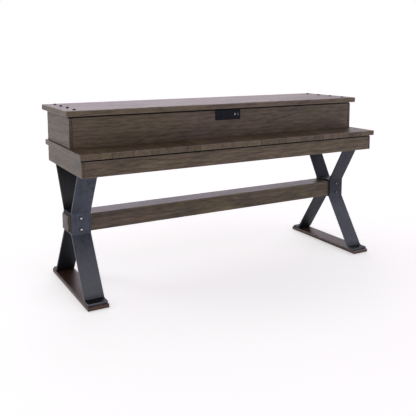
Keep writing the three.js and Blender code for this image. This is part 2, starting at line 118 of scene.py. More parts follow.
class SteelSettings(bpy.types.PropertyGroup):
    """Bars, plates and fasteners."""

    bar_arris: length("Bar arris", "Rounding of the edges of the flat bars", 1.3)
    blackened: colour("Blackened steel", "Steel under a clear coat", (0.062, 0.070, 0.094))
    # The black colour paints shade on the darker bars and on the tops of the foot flanges.
    black: colour("Black", "Blackest parts of the blackening", (0.007, 0.008, 0.011))
    smoke: colour("Smoke", "Darker patches of the blackening", (0.020, 0.024, 0.032))
    # This colour paints the lit parts of the bars.
    ashen: colour("Ashen", "Palest parts of the blackening", (0.150, 0.156, 0.166))
    # The rubbed colour is real wear on scuffs and edges. It is also a painted highlight on the
    # edges of the lit bars.
    rubbed: colour("Rubbed", "Bare steel on rubbed edges", (0.27, 0.27, 0.31))
    zinc: colour("Zinc", "Plated bolts, nuts and studs", (0.82, 0.83, 0.86))
    iron: colour("Iron", "Nail heads and black fasteners", (0.011, 0.011, 0.013))
    washer_radius: length("Washer radius", "Outer radius of a bolt washer", 8.6)
    washer_thick: length("Washer thickness", "Thickness of a bolt washer", 1.4)
    nut_corner: length("Nut corner radius", "Radius over the corners of a nut", 7.5)
    nut_height: length("Nut height", "Height of a nut", 6.4)
    pitch: length("Thread pitch", "Distance from one thread crest to the next", 1.25)


class PowerSettings(bpy.types.PropertyGroup):
    """Power unit in the front of the raised box."""

    plastic: colour("Plastic", "Moulded black plastic", (0.0036, 0.0048, 0.0105))
    tongue: colour("Tongue", "Contact tongue of the live port", (0.86, 0.86, 0.88))
    spare_tongue: colour("Second tongue", "Contact tongue of the other port", (0.115, 0.105, 0.135))
    shell_thick: length("Shell thickness", "Sheet of the metal shell in a port", 0.3)
    tongue_wide: length("Tongue width", "Thickness of a contact tongue", 3.0)
    tongue_high: length("Tongue height", "Height of a contact tongue", 10.8)
    tongue_back: length("Tongue setback", "How far a tongue stands behind the mouth", 0.8)
    screw_radius: length("Screw radius", "Head radius of a plate screw", 2.2)


class StageSettings(bpy.types.PropertyGroup):
    """Floor, light and camera."""

    floor_radius: FloatProperty(name="Floor radius", description="Radius of the floor",
                                default=16.0, unit="LENGTH", subtype="DISTANCE")
    floor: colour("Floor", "Paint of the floor", (0.88, 0.88, 0.88))
    glow: share("Floor glow", "Light that the floor gives by itself", 0.55)
    backdrop: colour("Backdrop", "Plain colour that shows behind the table", (1.0, 1.0, 1.0))
    sheen_sky: colour("Sheen light", "Brightest part of the light from behind", (0.98, 0.88, 1.0))
    over_sky: colour("Overhead light", "Light from straight above", (1.0, 0.95, 0.96))
    left_sky: colour("Left light", "Light from the left", (1.0, 0.88, 1.0))
    side_sky: colour("Side light", "Light from in front and to the right", (0.93, 0.86, 1.0))
    back_sky: colour("Back light", "Light from behind the table", (0.98, 0.92, 1.0))
    front_sky: colour("Front light", "Light from in front of the table", (1.0, 0.975, 0.94))
    back_strength: share("Back strength", "Strength of the light from behind", 1.02, 10.0)
    sheen_strength: share("Sheen strength", "Strength of that brightest part", 2.1, 10.0)
    over_strength: share("Overhead strength", "Strength of the light from above", 0.52, 10.0)
    left_strength: share("Left strength", "Strength of the light from the left", 0.32, 10.0)
    side_strength: share("Side strength", "Strength of the light from the right", 1.08, 10.0)
    front_strength: share("Front strength", "Strength of the light from the front", 0.66, 10.0)
    key_power: FloatProperty(name="Key power", description="Power of the key light", default=20.0,
                             unit="POWER")
    turn: FloatProperty(name="Camera turn", description="Turn of the camera to the right",
                        default=math.radians(29.48), unit="ROTATION")
    pitch: FloatProperty(name="Camera pitch", description="How far the camera looks down",
                         default=math.radians(7.0), unit="ROTATION")
    lens: FloatProperty(name="Lens", description="Focal length in millimetres", default=52.411)
    shift: FloatProperty(name="Shift", description="Rise and fall of the lens", default=-0.1956)
    eye: FloatVectorProperty(name="Camera place", description="Where the camera stands",
                             default=(-1.6895, -2.8854, 1.1850), unit="LENGTH",
                             subtype="TRANSLATION")


class TableSettings(bpy.types.PropertyGroup):
    """All the settings of the table."""

    seed: IntProperty(name="Seed", description="Start of the random draws", default=11)
    timber: PointerProperty(type=TimberSettings)
    steel: PointerProperty(type=SteelSettings)
    power: PointerProperty(type=PowerSettings)
    stage: PointerProperty(type=StageSettings)


def settings():
    return bpy.context.scene.bar_table


# --- shader nodes --------------------------------------------------------------------------------
class Value:
    """An output socket. Arithmetic on it adds Math nodes to its material."""

    def __init__(self, graph, socket):
        self.graph = graph
        self.socket = socket

    def _math(self, operation, *terms):
        return self.graph.node("Math", {"operation": operation}, dict(enumerate(terms)))

    def __add__(self, other):
        return self._math("ADD", self, other)

    def __sub__(self, other):
        return self._math("SUBTRACT", self, other)

    def __rsub__(self, other):
        return self._math("SUBTRACT", other, self)

    def __mul__(self, other):
        return self._math("MULTIPLY", self, other)

    __radd__ = __add__
    __rmul__ = __mul__

    def root(self):
        return self._math("SQRT", self)

    def wave(self):
        """Sine of a value in turns, from 0 to 1."""
        return self._math("SINE", self * math.tau) * 0.5 + 0.5

    def ease(self, low, high):
        """0 below low, 1 above high and smooth between them; high may be the smaller."""
        return self.graph.node("MapRange", {"interpolation_type": "SMOOTHSTEP"},
                               {"Value": self, "From Min": low, "From Max": high})

    def held(self):
        return self.graph.node("Clamp", {}, {"Value": self})


class Graph:
    """The nodes of one material."""

    def __init__(self, name):
        self.material = bpy.data.materials.new(name)
        self.material.use_nodes = True
        self.tree = self.material.node_tree
        self.tree.nodes.clear()

    def node(self, kind, setup=None, sockets=None, output=0):
        """Adds a node, sets it up, feeds its sockets and gives one of its outputs."""
        node = self.tree.nodes.new("ShaderNode" + kind)
        for key, value in (setup or {}).items():
            if key == "stops":
                self._stops(node.color_ramp, value)
            else:
                setattr(node, key, value)
        for key, value in (sockets or {}).items():
            if isinstance(value, Value):
                self.tree.links.new(value.socket, node.inputs[key])
            else:
                node.inputs[key].default_value = value
        return Value(self, node.outputs[output])

    @staticmethod
    def _stops(ramp, stops):
        while len(ramp.elements) < len(stops):
            ramp.elements.new(1.0)
        for element, (place, shade) in zip(ramp.elements, stops):
            element.position = place
            element.color = (*shade, 1.0)

    def vector(self, x, y, z):
        return self.node("CombineXYZ", {}, {"X": x, "Y": y, "Z": z})

    def noise(self, vector, detail=2.0, roughness=0.5):
        return self.node("TexNoise", {}, {"Vector": vector, "Scale": 1.0, "Detail": detail,
                                          "Roughness": roughness})

    def place(self):
        """Object coordinates, in metres, one value for each axis."""
        spot = self.node("TexCoord", {}, {}, "Object")
        return [self.node("SeparateXYZ", {}, {"Vector": spot}, i) for i in range(3)]

    def upward(self):
        """How far the surface faces up, from -1 to 1."""
        normal = self.node("NewGeometry", {}, {}, "Normal")
        return self.node("SeparateXYZ", {}, {"Vector": normal}, 2)

    def attribute(self, name):
        return self.node("Attribute", {"attribute_name": name}, {}, "Fac")

    def mix(self, factor, first, second, blend="MIX"):
        """Mixes two colours."""
        first, second = (c if isinstance(c, Value) else (*c, 1.0) for c in (first, second))
        return self.node("Mix", {"data_type": "RGBA", "blend_type": blend, "clamp_factor": True},
                         {0: factor, 6: first, 7: second}, 2)

    def ramp(self, value, stops):
        return self.node("ValToRGB", {"stops": stops}, {"Fac": value})

    def bump(self, height, distance, strength=1.0):
        return self.node("Bump", {}, {"Height": height, "Distance": distance, "Strength": strength})

    def surface(self, **sockets):
        """Ends the material in a Principled surface; a name's underscores stand for spaces."""
        named = {key.replace("_", " "): value for key, value in sockets.items()}
        shader = self.node("BsdfPrincipled", {}, named)
        self.node_output(shader)
        return self.material

    def node_output(self, shader):
        end = self.tree.nodes.new("ShaderNodeOutputMaterial")
        self.tree.links.new(shader.socket, end.inputs["Surface"])


def kept(build):
    """Makes a material once for each set of arguments and finds it again after that."""

    def found(*parts):
        name = "_".join([build.__name__, *map(str, parts)])
        return bpy.data.materials.get(name) or build(name, *parts)

    return found


# --- finishes ------------------------------------------------------------------------------------
@kept
def oak(name, along):
    """Brushed, stained oak whose grain runs along one axis. It reads each board's own number. It
    paints shade under the tops and in the shadow gaps, and gives rounded edges a lighter colour
    that is partly a painted highlight.
    """
    timber = settings().timber
    g = Graph(name)
    spots = dict(zip("XYZ", g.place()))
    across, through = {"X": "YZ", "Y": "XZ", "Z": "XY"}[along]
    board = g.attribute("board")
    # This number is above zero on rounded edges and below zero on faces painted in shade and on
    # joints between boards.
    rubbed = g.attribute("wear")
    u = spots[along] + board * 31.7
    v = spots[across] + board * 7.31
    w = spots[through] + board * 3.17

    # knots: rare spots that the growth lines swing round
    knot_spot = g.vector(u * 3.1, (v + w) * 8.5, 0.0)
    knot_cell = {"voronoi_dimensions": "2D", "feature": "F1"}
    knot_reach = g.node("TexVoronoi", knot_cell, {"Vector": knot_spot, "Scale": 1.0}, "Distance")
    knot_tint = g.node("TexVoronoi", knot_cell, {"Vector": knot_spot, "Scale": 1.0}, "Color")
    chosen = g.node("SeparateColor", {}, {"Color": knot_tint}).ease(0.74, 0.80)
    ragged = knot_reach + (g.noise(g.vector(u * 60, v * 140, w * 140), 3.0) - 0.5) * 0.09
    knot = ragged.ease(0.085, 0.025) * chosen
    swing = knot_reach.ease(0.40, 0.0) * chosen

    # growth rings round a pith line that lies outside the board and wanders
    wander = g.noise(g.vector(u * 1.3, v * 4.0, w * 4.0), 2.0)
    ripple = g.noise(g.vector(u * 7.0, v * 22.0, w * 22.0), 3.0)
    off = spots[across] + (board - 0.5) * 0.31
    deep = spots[through] * 0.35 + 0.16
    radius = (off * off + deep * deep).root()
    radius = radius + wander * 0.034 + ripple * 0.0035 + swing * 0.011
    rings = (radius * (1 / 0.0076)).wave()
    early = rings.ease(0.35, 0.95)

    # streaks, fibres and open pores, all drawn out along the grain
    cloud = g.noise(g.vector(u * 4.2, v * 15.0, w * 15.0), 3.0, 0.6)
    streak = g.noise(g.vector(u * 15.0, v * 130.0, w * 130.0), 3.0, 0.6)
    fibre = g.noise(g.vector(u * 26.0, v * 620.0, w * 620.0), 3.0, 0.65)
    flecks = g.noise(g.vector(u * 60.0, v * 1500.0, w * 1500.0), 1.0)
    pore = flecks.ease(0.57, 0.70) * (early * 0.75 + 0.25)

    tone = (0.52 + (cloud - 0.5) * 0.75 + (streak - 0.5) * 1.05 + (fibre - 0.5) * 0.45
            + (early - 0.5) * -0.09 + (board - 0.5) * 0.26)
    stain = g.ramp(tone, [(0.16, timber.dark), (0.50, timber.middle), (0.86, timber.light)])
    redder = board.ease(0.0, -0.1)
    drift = g.noise(g.vector(u * 1.7 + 4.0, v * 5.0, w * 5.0), 2.0).ease(0.36, 0.64)
    stain = g.mix(1.0, stain, g.mix(drift, timber.olive, timber.plum), "MULTIPLY")
    stain = g.mix(redder, stain, g.mix(1.0, stain, timber.russet, "MULTIPLY"))
    stain = g.mix(pore * 0.62, stain, timber.pore)
    stain = g.mix((knot * 0.68).held(), stain, timber.pore)
    # Rounded edges get a lighter, lilac colour. This is partly real wear and partly a painted
    # highlight. Edges that face down get none of it.
    chafe = g.noise(g.vector(u * 35.0, v * 35.0, w * 35.0), 4.0, 0.7).ease(0.36, 0.62)
    worn_and_highlit = rubbed * (0.26 + chafe * 0.52) * g.upward().ease(-0.6, -0.2)
    stain = g.mix(worn_and_highlit.held(), stain, timber.worn)
    z = spots["Z"]
    # Painted shade: a dark band on every panel just under the overhang of each top.
    for top in ("riser_top", "main_top"):
        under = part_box(top)[0].z
        overhang_shade = z.ease(under - 14 * MM, under - 2 * MM) * z.ease(under + 0.4 * MM, under)
        stain = g.mix(overhang_shade * 0.78, stain, timber.pore)
    # Painted shade: faces marked below zero turn dark. Faces in the shadow gap turn fully black,
    # and faces in joints turn a little darker.
    stain = g.mix((rubbed * -0.95).held(), stain, timber.pore)

    rough = timber.gloss + (fibre - 0.5) * 0.22 + pore * 0.22 + (cloud - 0.5) * 0.16
    height = (fibre * 0.30 + streak * 0.34 + early * 0.16 - pore * 0.55 - knot * 0.30)
    return g.surface(Base_Color=stain, Roughness=rough.held(),
                     Normal=g.bump(height, timber.relief, 0.75), IOR=1.45)


@kept
def blackened_steel(name):
    """Hot-rolled bar, blackened and clear coated: smoky patches, rubbed edges, faint scale. Light
    and shade are painted too: each bar by its own number, lighter low parts, a lit patch over the
    clamp and black shade on the flange tops.
    """
    steel = settings().steel
    g = Graph(name)
    x, y, z = g.place()
    rubbed = g.attribute("wear")
    smoke = g.noise(g.vector(x * 9.0, y * 9.0, z * 5.5), 4.0, 0.6)
    mottle = g.noise(g.vector(x * 46.0, y * 46.0, z * 34.0), 4.0, 0.65)
    scale = g.noise(g.vector(x * 420.0, y * 420.0, z * 420.0), 3.0, 0.6)
    drawn = g.noise(g.vector(x * 900.0, y * 900.0, z * 14.0), 2.0, 0.6)
    brushed = g.noise(g.vector(x * 130.0, y * 130.0, z * 17.0), 3.0, 0.6)
    patches = ((smoke - 0.42) * 1.4 + (mottle - 0.5) * 1.2 + (brushed - 0.5) * 1.6).held()
    tint = g.mix(patches, steel.blackened, steel.smoke)
    # The board number tells how lit each bar is painted. Low numbers paint it in black shade, and
    # the most lit bars get a painted lighter foot.
    pale = g.attribute("board")
    lit_foot = pale.ease(0.30, 0.36) * z.ease(0.36, 0.22)
    tint = g.mix(pale.ease(0.9, 0.1) * (0.80 - lit_foot * 0.74), tint, steel.black)
    tint = g.mix(lit_foot * pale.ease(0.7, 0.4) * 0.30, tint, steel.ashen)
    # Painted light: the lower half of the lit bars is lighter, as if the upper half were in the
    # shade of the top.
    lit_low_half = z.ease(0.34, 0.12) * pale.ease(0.3, 0.9)
    tint = g.mix(lit_low_half * 0.6, tint, steel.ashen)
    # Painted light: a lighter patch over the clamp on the shaded bars.
    lit_over_clamp = z.ease(0.70, 0.48) * z.ease(0.40, 0.46) * pale.ease(0.3, 0.1)
    tint = g.mix(lit_over_clamp * 0.75, tint, steel.ashen)
    # Painted shade: the upward faces of the foot flanges are painted near black.
    flange_shade = z.ease(0.060, 0.034) * g.upward().ease(0.3, 0.8)
    tint = g.mix(flange_shade * 0.90, tint, steel.black)
    specks = g.noise(g.vector(x * 240.0, y * 240.0, z * 240.0), 2.0).ease(0.68, 0.74)
    tint = g.mix(specks * 0.5, tint, (0.030, 0.026, 0.024))
    scuff = drawn.ease(0.66, 0.80) * mottle.ease(0.48, 0.68)
    tint = g.mix((scuff * 0.30).held(), tint, steel.rubbed)
    # Rubbed edges: real wear, made brighter on the lit bars as a painted highlight.
    edges = rubbed * (0.30 + mottle.ease(0.35, 0.65) * 0.45) * (0.15 + pale.ease(0.3, 0.9) * 0.85)
    tint = g.mix(edges.held(), tint, steel.rubbed)
    rough = 0.50 + (mottle - 0.5) * 0.30 + (smoke - 0.5) * 0.16 - rubbed * 0.10 + specks * 0.15
    return g.surface(Base_Color=tint, Metallic=0.72, Roughness=rough.held(),
                     Normal=g.bump(scale * 0.5 + mottle * 0.8 + drawn * 0.12, 0.00035, 0.45))


@kept
def zinc_plate(name):
    """Zinc with a cloudy passivated sheen, painted bright at the left end and in painted shade at
    the right.
    """
    steel = settings().steel
    g = Graph(name)
    x, y, z = g.place()
    cloud = g.noise(g.vector(x * 260.0, y * 260.0, z * 260.0), 3.0)
    grain = g.noise(g.vector(x * 2400.0, y * 2400.0, z * 2400.0), 2.0)
    tint = g.mix(cloud.ease(0.3, 0.7), steel.zinc, (0.55, 0.57, 0.62))
    tint = g.mix(grain.ease(0.62, 0.8) * 0.25, tint, (0.25, 0.24, 0.23))
    # Painted shade: the parts towards the right end are darker.
    right_end_shade = x.ease(0.2, 0.6)
    tint = g.mix(right_end_shade * 0.80, tint, (0.085, 0.085, 0.095))
    return g.surface(Base_Color=tint, Metallic=1.0, Roughness=(0.30 + cloud * 0.2).held(),
                     Normal=g.bump(grain, 0.00004, 0.5))


@kept
def black_iron(name):
    """Forged iron, oil blackened and matt, with hammer marks and rubbed high spots."""
    steel = settings().steel
    g = Graph(name)
    x, y, z = g.place()
    marks = g.noise(g.vector(x * 320.0, y * 320.0, z * 320.0), 2.0)
    scale = g.noise(g.vector(x * 1500.0, y * 1500.0, z * 1500.0), 3.0, 0.6)
    rubbed = g.attribute("wear")
    tint = g.mix(marks.ease(0.35, 0.7), steel.iron, (0.026, 0.025, 0.028))
    tint = g.mix((rubbed * 0.35 * scale.ease(0.4, 0.6)).held(), tint, (0.17, 0.17, 0.18))
    return g.surface(Base_Color=tint, Roughness=(0.55 + scale * 0.3).held(),
                     IOR=1.12, Normal=g.bump(marks * 0.8 + scale * 0.2, 0.0005, 0.6))


@kept
def moulded_plastic(name, shade, rough):
    """Moulded plastic with a fine spark texture, a faint flow pattern and rubbed edges."""
    g = Graph(name)
    x, y, z = g.place()
    spark = g.noise(g.vector(x * 2600.0, y * 2600.0, z * 2600.0), 2.0, 0.7)
    flow = g.noise(g.vector(x * 30.0, y * 30.0, z * 55.0), 3.0)
    rubbed = g.attribute("wear")
    tint = SHADES[shade]()
    lighter = tuple(c * 1.5 + 0.001 for c in tint)
    base = g.mix((flow * 0.5 + spark * 0.3).held(), tint, lighter)
    base = g.mix((rubbed * 0.22).held(), base, tuple(c * 2.0 + 0.03 for c in tint))
    return g.surface(Base_Color=base, Roughness=(rough + (spark - 0.5) * 0.25).held(), IOR=1.24,
                     Normal=g.bump(spark, 0.00008, 0.35))


@kept
def contact_metal(name):
    """Thin tinned and gilded sheet of the ports."""
    g = Graph(name)
    x, y, z = g.place()
    drawn = g.noise(g.vector(x * 3000.0, y * 300.0, z * 300.0), 2.0)
    tint = g.mix(drawn, (0.30, 0.30, 0.32), (0.48, 0.47, 0.46))
    return g.surface(Base_Color=tint, Metallic=1.0, Roughness=(0.25 + drawn * 0.2).held(),
                     Normal=g.bump(drawn, 0.00002, 0.4))


@kept
def floor_paint(name):
    """Pale matt floor with a very faint roller texture."""
    g = Graph(name)
    x, y, z = g.place()
    cloud = g.noise(g.vector(x * 0.8, y * 0.8, z), 3.0)
    stipple = g.noise(g.vector(x * 220.0, y * 220.0, z), 2.0)
    pale = tuple(settings().stage.floor)
    tint = g.mix(cloud, pale, tuple(c * 0.97 for c in pale))
    return g.surface(Base_Color=tint, Roughness=(0.75 + stipple * 0.15).held(),
                     Normal=g.bump(stipple, 0.0002, 0.2), Emission_Color=tint,
                     Emission_Strength=settings().stage.glow)


SHADES = {
    "plastic": lambda: tuple(settings().power.plastic),
    "tongue": lambda: tuple(settings().power.tongue),
    "spare_tongue": lambda: tuple(settings().power.spare_tongue),
    "nylon": lambda: (0.026, 0.026, 0.028),
}


# --- mesh helpers --------------------------------------------------------------------------------
def new_mesh():
    """An empty bmesh with the two face numbers that the materials read."""
    bm = bmesh.new()
    bm.faces.layers.float.new("board")
    bm.faces.layers.float.new("wear")
    return bm


def round_edges(bm, edges, arris, segments=2):
    """Rounds the edges and marks the new faces as the ones that get rubbed."""
    rounded = bmesh.ops.bevel(bm, geom=list(edges), offset=arris, offset_type="OFFSET",
                              segments=segments, profile=0.5, affect="EDGES", clamp_overlap=True,
                              material=-1)
    wear = bm.faces.layers.float["wear"]
    for face in rounded["faces"]:
        face[wear] = RUBBED


def number_faces(bm, old, value):
    board = bm.faces.layers.float["board"]
    for face in bm.faces:
        if face not in old:
            face[board] = value


def add_block(bm, low, high, arris, board=PLAIN, segments=2):
    """Adds a box between two corners, with rounded edges."""
    low, high = Vector(low), Vector(high)
    old = set(bm.faces)
    sized = Matrix.Diagonal((*(high - low), 1.0))
    made = bmesh.ops.create_cube(bm, size=1.0, matrix=Matrix.Translation((low + high) / 2) @ sized)
    round_edges(bm, {e for v in made["verts"] for e in v.link_edges}, arris, segments)
    number_faces(bm, old, board)


def ring_of_points(bm, place, sides, radius, height, corners=0):
    """Points at even angles on a circle, or on a polygon where corners are given."""
    points = []
    for i in range(sides):
        angle = math.tau * i / sides
        reach = radius
        if corners:
            half = math.pi / corners
            reach *= math.cos(half) / math.cos(angle % (2 * half) - half)
        spot = Vector((math.cos(angle) * reach, math.sin(angle) * reach, height))
        points.append(bm.verts.new(place @ spot))
    return points


def add_turned(bm, rings, centre, axis=(0, 0, 1), sides=ROUND_SIDES, hollow=False):
    """Joins a stack of rings into a closed solid. A ring is a radius, a height along the axis
    and, for a hexagon, its number of corners. A hollow stack closes from its last ring to its
    first.
    """
    turn = Vector(axis).to_track_quat("Z", "Y").to_matrix().to_4x4()
    place = Matrix.Translation(centre) @ turn
    loops = [ring_of_points(bm, place, sides, *ring) for ring in rings]
    pairs = list(zip(loops, loops[1:]))
    made = []
    if hollow:
        pairs.append((loops[-1], loops[0]))
    else:
        made += [bm.faces.new(loops[0]), bm.faces.new(loops[-1])]
    for near, far in pairs:
        for i in range(sides):
            made.append(bm.faces.new((near[i - 1], near[i], far[i], far[i - 1])))
    bmesh.ops.recalc_face_normals(bm, faces=made)
    board = bm.faces.layers.float["board"]
    for face in made:
        face[board] = PLAIN


def even_faces(bm):
    """Turns the inner edges of flat faces, so that none runs close past the corner of a hole."""
    bmesh.ops.triangulate(bm, faces=bm.faces, quad_method="BEAUTY", ngon_method="BEAUTY")
    bm.normal_update()
    flat = [e for e in bm.edges if abs(e.calc_face_angle_signed(0.0)) < FLAT_ANGLE]
    bmesh.ops.beautify_fill(bm, faces=bm.faces, edges=flat, method="AREA")


def cad_copy(node, arris, board=PLAIN):
    """A merged copy of a CAD node, with its hard outer edges rounded."""
    bm = new_mesh()
    bm.from_mesh(frame["nodes"][node].data)
    bmesh.ops.remove_doubles(bm, verts=bm.verts, dist=MERGE_DISTANCE)
    bmesh.ops.dissolve_limit(bm, angle_limit=FLAT_ANGLE, verts=bm.verts, edges=bm.edges)
    if node in HOLED_FACES:
        even_faces(bm)
    hard = [e for e in bm.edges if e.calc_face_angle_signed(0.0) > ARRIS_ANGLE]
    round_edges(bm, hard, arris)
    number_faces(bm, set(), board)
    return bm


def stain_gap(bm):
    """Marks the faces along the top of a panel, down to the lower lip of its shadow gap, to be
    painted in black shade.
    """
    wear = bm.faces.layers.float["wear"]
    upper = max(v.co.z for v in bm.verts)
    for face in bm.faces:
        if face.calc_center_median().z > upper - GAP_HEIGHT:
            face[wear] = GAP_SHADE


def stain_joints(bm):
    """Darkens the upright arrises of a panel that stand against the next panel."""
    wear = bm.faces.layers.float["wear"]
    bm.normal_update()
    centre = sum(v.co.x for v in bm.verts) / len(bm.verts)
    for face in bm.faces:
        x, y, _ = face.normal
        if min(abs(x), abs(y)) > SLANT and (abs(centre) < MIDDLE or x * centre < 0):
            face[wear] = JOINT_STAIN


def shown(bm, name, material, nodes=(), body=TABLE):
    """Makes the piece: its object stays at the origin, rides on a body and stands for its nodes."""
    mesh = bpy.data.meshes.new(name)
    bm.to_mesh(mesh)
    bm.free()
    mesh.shade_smooth()
    mesh.set_sharp_from_angle(angle=SHARP_ANGLE)
    mesh.materials.append(material)
    piece = bpy.data.objects.new(name, mesh)
    bpy.context.scene.collection.objects.link(piece)
    even = piece.modifiers.new("Even normals", "WEIGHTED_NORMAL")
    even.keep_sharp = True
    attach(piece, body)
    if nodes:
        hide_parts(*nodes)
    return piece


def refined(node, name, material, arris, board=PLAIN, body=TABLE):
    """One CAD node with rounded edges and a better finish."""
    return shown(cad_copy(node, arris, board), name, material, [node], body)


def panel(node, name, along, arris, board):
    """One panel or rail of a box that stands under a top."""
    bm = cad_copy(node, arris, board)
    stain_joints(bm)
    stain_gap(bm)
    return shown(bm, name, oak(along), [node])


def middle(node):
    low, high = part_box(node)
    return (low + high) / 2


def draw(rng):
    """A board's own number."""
    return round(rng.uniform(0.08, 0.95), 4)


def draw_red(rng):
    """The number of a board from a darker, redder log: less than zero."""
    return -draw(rng) * 0.4 - 0.1


class Build(bpy.types.Operator):
    """Shared by the operators that build pieces."""

    bl_options = {"REGISTER", "UNDO"}

    def execute(self, context):
        self.rng = random.Random(f"{settings().seed} {self.bl_idname}")
        self.build(settings())
        return {"FINISHED"}


# --- timber --------------------------------------------------------------------------------------
# Widths of the short staves of the main top, from its left end, in millimetres
STAVE_WIDTHS = (96, 53, 108, 90, 32, 50, 104, 77, 118, 61,
                95, 84, 112, 47, 103, 88, 66, 109, 74, 98)


class BARTABLE_OT_riser_top(Build):
    """Top board of the raised box: long planks, one under each nail"""

    bl_idname = "bartable.riser_top"
    bl_label = "Riser top"

    def build(self, table):
        timber = table.timber
        low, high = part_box("riser_top")
        nails = [middle(f"top_nail_left_{i}").y for i in range(1, 5)]
        joints = [(a + b) / 2 for a, b in zip(nails, nails[1:])]
        bm = new_mesh()
        add_block(bm, low, high, timber.top_arris, segments=3)
        for joint in joints:
            whole = [*bm.verts, *bm.edges, *bm.faces]
            bmesh.ops.bisect_plane(bm, geom=whole, plane_co=(0, joint, 0), plane_no=(0, 1, 0))
        planks = [draw(self.rng) for _ in nails]
        board = bm.faces.layers.float["board"]
        for face in bm.faces:
            place = face.calc_center_median().y
            face[board] = planks[sum(place > joint for joint in joints)]
        shown(bm, "oak_riser_top", oak("X"), ["riser_top"])


class BARTABLE_OT_main_top(Build):
    """Main top: short staves from front to back, so its front edge shows their ends"""

    bl_idname = "bartable.main_top"
    bl_label = "Main top"

    stave_arris = 0.4  # a stave's rounding, as a share of the riser top's
    edge = 5.0 * MM  # an arris nearer than this to an end of the top isn't in a joint

    def build(self, table):
        timber = table.timber
        low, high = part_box("main_top")
        bm = new_mesh()
        left = low.x
        for width in (*STAVE_WIDTHS, (high.x - low.x) / MM):
            right = min(left + width * MM, high.x)
            far = right if right == high.x else right - timber.joint
            add_block(bm, (left, low.y, low.z), (far, high.y, high.z),
                      timber.top_arris * self.stave_arris, draw(self.rng))
            left = right
            if left >= high.x:
                break
        wear = bm.faces.layers.float["wear"]
        bm.normal_update()
        for face in bm.faces:
            place = face.calc_center_median().x
            if abs(face.normal.x) > SLANT and low.x + self.edge < place < high.x - self.edge:
                face[wear] = JOINT_STAIN
        shown(bm, "oak_main_top", oak("Y"), ["main_top"])


class BARTABLE_OT_riser_box(Build):
    """Panels of the raised box"""

    bl_idname = "bartable.riser_box"
    bl_label = "Raised box"

    # Each panel: its side, the way its grain runs and its own number as a board; the numbers also
    # paint light and shade, the front lighter and the left and right sides darker
    panels = (("front", "X", 0.80), ("back", "X", 0.35), ("left", "Y", 0.16), ("right", "Y", 0.03))

    def build(self, table):
        for place, along, board in self.panels:
            panel(f"riser_{place}_panel", f"oak_riser_{place}", along, table.timber.panel_arris,
                  board)


class BARTABLE_OT_apron(Build):
    """Rails of the apron and the rails inside it that the legs bolt to"""

    bl_idname = "bartable.apron"
    bl_label = "Apron"

    # Each rail: its side, the way its grain runs and its own number as a board; the left rail's low
    # number paints it in shade
    rails = (("front", "X", 0.50), ("back", "X", 0.42), ("left", "Y", 0.0), ("right", "Y", 0.5))

    def build(self, table):
        arris = table.timber.panel_arris
        for place, along, board in self.rails:
            panel(f"apron_{place}", f"oak_apron_{place}", along, arris, board)
        for end, _ in ENDS:
            refined(f"leg_rail_{end}", f"oak_leg_rail_{end}", oak("Y"), arris,
                    draw(self.rng))


class BARTABLE_OT_stretcher(Build):
    """Stretcher beam and the bosses on its ends"""

    bl_idname = "bartable.stretcher"
    bl_label = "Stretcher"

    beam_board = 0.12  # the beam's own number as a board

    def build(self, table):
        arris = table.timber.beam_arris
        refined("stretcher_beam", "oak_beam", oak("X"), arris,
                self.beam_board)
        for end, _ in ENDS:
            refined(f"stretcher_cap_{end}", f"oak_cap_{end}", oak("Z"), arris * 0.5,
                    draw_red(self.rng))


class BARTABLE_OT_sleds(Build):
    """Sled boards under the frames"""

    bl_idname = "bartable.sleds"
    bl_label = "Sled boards"

    def build(self, table):
        for end, _ in ENDS:
            refined(f"sled_board_{end}", f"oak_sled_{end}", oak("Y"),
                    table.timber.panel_arris * 1.2, draw_red(self.rng))


# --- steel ---------------------------------------------------------------------------------------
class BARTABLE_OT_frames(Build):
    """Bent bars of the X frames and the plates that close their clamps"""

    bl_idname = "bartable.frames"
    bl_label = "Steel frames"

    # Painted light and shade, bar by bar: 0 paints a bar black as if in shade and 1 paints it the
    # most lit; the rear bars, under the table, are painted darker
    pale = {"left_front": 0.9, "left_rear": 0.15, "right_front": 0.37, "right_rear": 0.28}

    def build(self, table):
        steel = table.steel
        for end, _ in ENDS:
            for side, _ in SIDES:
                corner = f"{end}_{side}"
                refined(f"leg_bar_{corner}", f"steel_bar_{corner}", blackened_steel(),
                        steel.bar_arris, self.pale[corner])
            for level in ("upper", "lower"):
                refined(f"clamp_plate_{end}_{level}", f"steel_clamp_{end}_{level}",
                        blackened_steel(), steel.bar_arris * 0.7)


STEM_RADIUS = 4.0  # of a head's stem, in millimetres
BUTTON_HEAD = ((6.2, 0.0), (6.4, 0.7), (6.2, 1.8), (5.5, 3.1), (4.4, 4.1), (3.4, 4.6), (2.4, 4.7),
               (2.0, 4.7, HEX_SIDES), (1.95, 2.6, HEX_SIDES))
HEAD_STEM = 1.0  # how far a head's stem runs into the hole under it, in millimetres
THREAD_DEPTH = 0.35  # crest to root, in millimetres


def scaled(rings):
    return [(ring[0] * MM, ring[1] * MM, *ring[2:]) for ring in rings]


def button_head(bm, seat, axis):
    """A button head with a hexagon socket, standing on seat."""
    stem = [(STEM_RADIUS, -HEAD_STEM), (STEM_RADIUS, 0.0)]
    add_turned(bm, scaled([*stem, *BUTTON_HEAD]), seat, axis)


def threaded(bm, start, axis, radius, span, pitch):
    """A threaded length from start along axis."""
    turns = max(2, round(span / pitch))
    step = span / turns
    rings = [(radius - 2 * THREAD_DEPTH * MM, 0.0)]
    for turn in range(turns):
        rings.append((radius, (turn + 0.5) * step))
        rings.append((radius - THREAD_DEPTH * MM, (turn + 1.0) * step))
    add_turned(bm, rings, start, axis, sides=18)


